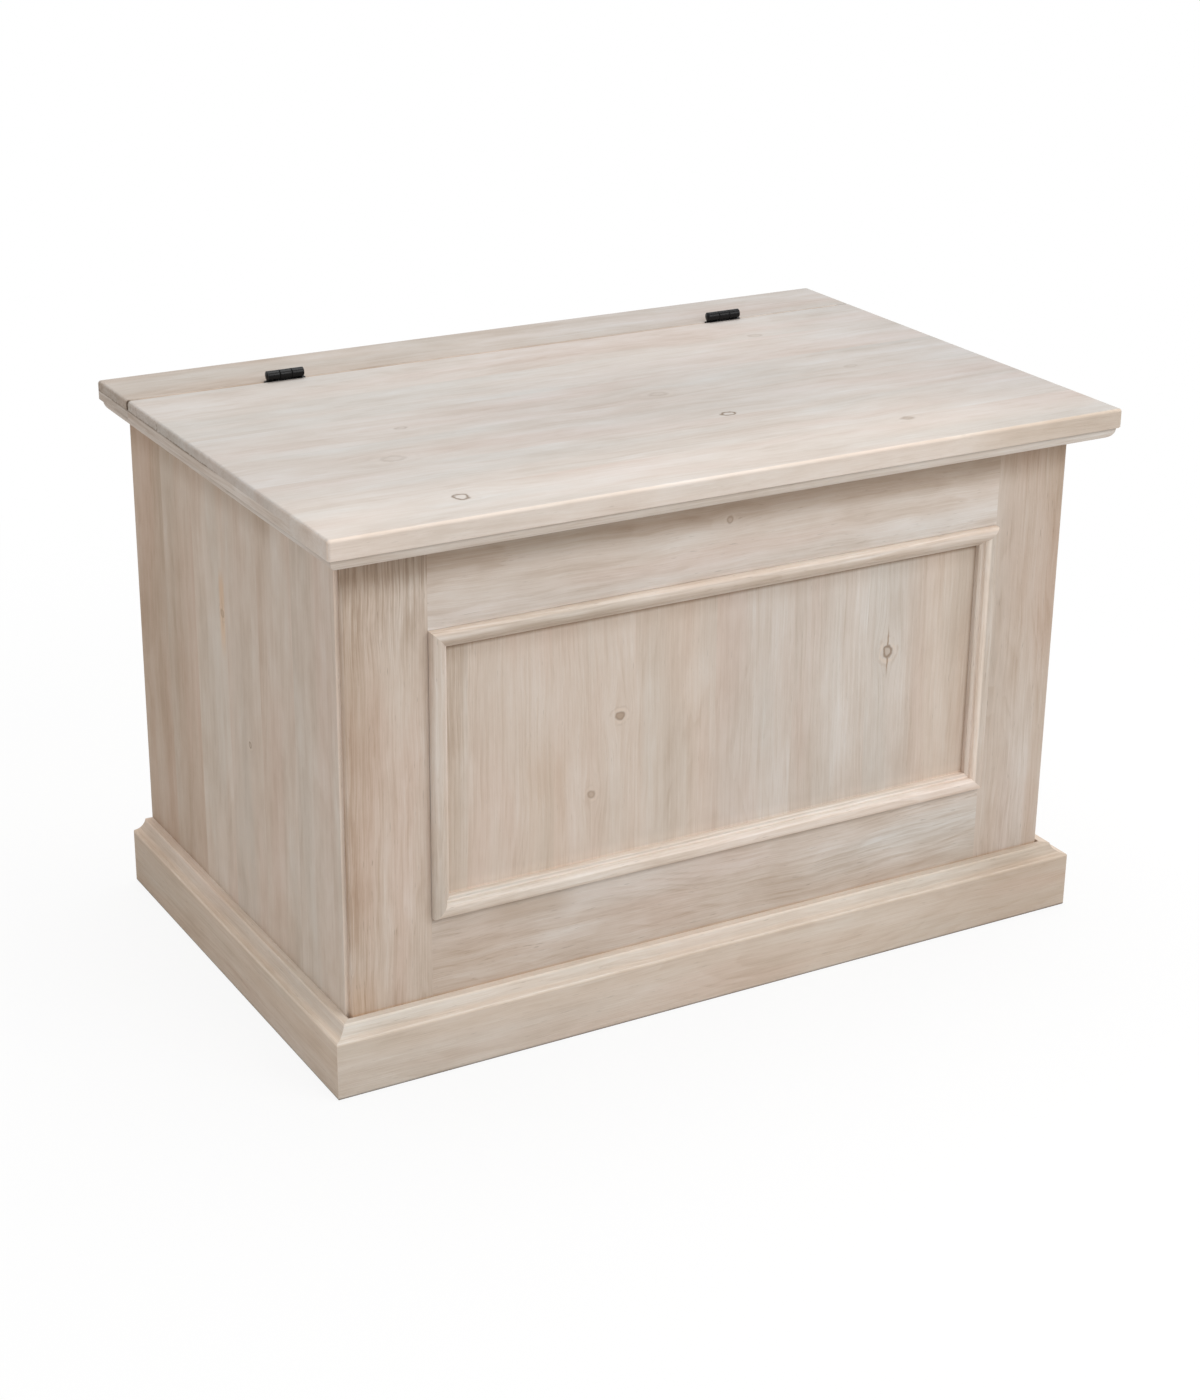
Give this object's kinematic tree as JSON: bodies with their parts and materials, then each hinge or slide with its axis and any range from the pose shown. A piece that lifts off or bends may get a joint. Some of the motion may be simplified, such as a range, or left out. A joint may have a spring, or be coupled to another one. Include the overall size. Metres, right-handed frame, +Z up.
{
  "type": "storage chest",
  "caption": "Limed pine storage chest with a panelled front, boarded sides, moulded rim and plinth, and a lid hinged to a fixed rear rail.",
  "frame": {"origin": "on the floor under the centre of the top", "axes": "+X along the chest's length to the viewer's right of its front, +Y towards its back, +Z up"},
  "size_m": [0.9, 0.589, 0.5935],
  "materials": {
    "top_wood": "limed pine, matt open grain",
    "front_wood": "limed pine, matt open grain",
    "side_wood": "limed pine, matt open grain",
    "moulding_wood": "limed pine, matt open grain",
    "plinth_wood": "limed pine, matt open grain",
    "inner_wood": "limed pine, matt open grain",
    "black_metal": "gloss black"
  },
  "bodies": {
    "chest": {"back_board_1": "inner_wood", "back_board_2": "inner_wood", "back_board_3": "inner_wood", "back_board_4": "inner_wood", "back_foot_rail": "inner_wood", "floor_board_1": "inner_wood", "floor_board_2": "inner_wood", "floor_board_3": "inner_wood", "floor_board_4": "inner_wood", "floor_cleat_front": "inner_wood", "floor_cleat_left": "inner_wood", "floor_cleat_rear": "inner_wood", "floor_cleat_right": "inner_wood", "front_bottom_rail": "front_wood", "front_left_stile": "front_wood", "front_panel": "front_wood", "front_right_stile": "front_wood", "front_top_rail": "front_wood", "hinge_left_rail_leaf": "black_metal", "hinge_pins": "black_metal", "hinge_rail": "top_wood", "hinge_rail_screws": "black_metal", "hinge_right_rail_leaf": "black_metal", "left_side_board_1": "side_wood", "left_side_board_2": "side_wood", "left_side_board_3": "side_wood", "left_side_board_4": "side_wood", "left_side_board_5": "side_wood", "left_side_board_6": "side_wood", "panel_moulding_bottom": "moulding_wood", "panel_moulding_left": "moulding_wood", "panel_moulding_right": "moulding_wood", "panel_moulding_top": "moulding_wood", "plinth_front": "plinth_wood", "plinth_left": "plinth_wood", "plinth_right": "plinth_wood", "rail_left_lipping": "top_wood", "rail_right_lipping": "top_wood", "right_side_board_1": "side_wood", "right_side_board_2": "side_wood", "right_side_board_3": "side_wood", "right_side_board_4": "side_wood", "right_side_board_5": "side_wood", "right_side_board_6": "side_wood", "rim_front": "moulding_wood", "rim_left": "moulding_wood", "rim_rear": "moulding_wood", "rim_right": "moulding_wood"},
    "lid": {"hinge_left_lid_leaf": "black_metal", "hinge_lid_screws": "black_metal", "hinge_right_lid_leaf": "black_metal", "lid_board_1": "top_wood", "lid_board_2": "top_wood", "lid_board_3": "top_wood", "lid_board_4": "top_wood", "lid_board_5": "top_wood", "lid_board_6": "top_wood", "lid_left_lipping": "top_wood", "lid_right_lipping": "top_wood"}
  },
  "joints": [
    {"name": "lid_hinge", "type": "hinge", "parent": "chest", "child": "lid", "pos_m": [0, 0.2053, 0.5885], "axis": [-1, 0, 0], "range_deg": [0, 180]}
  ]
}
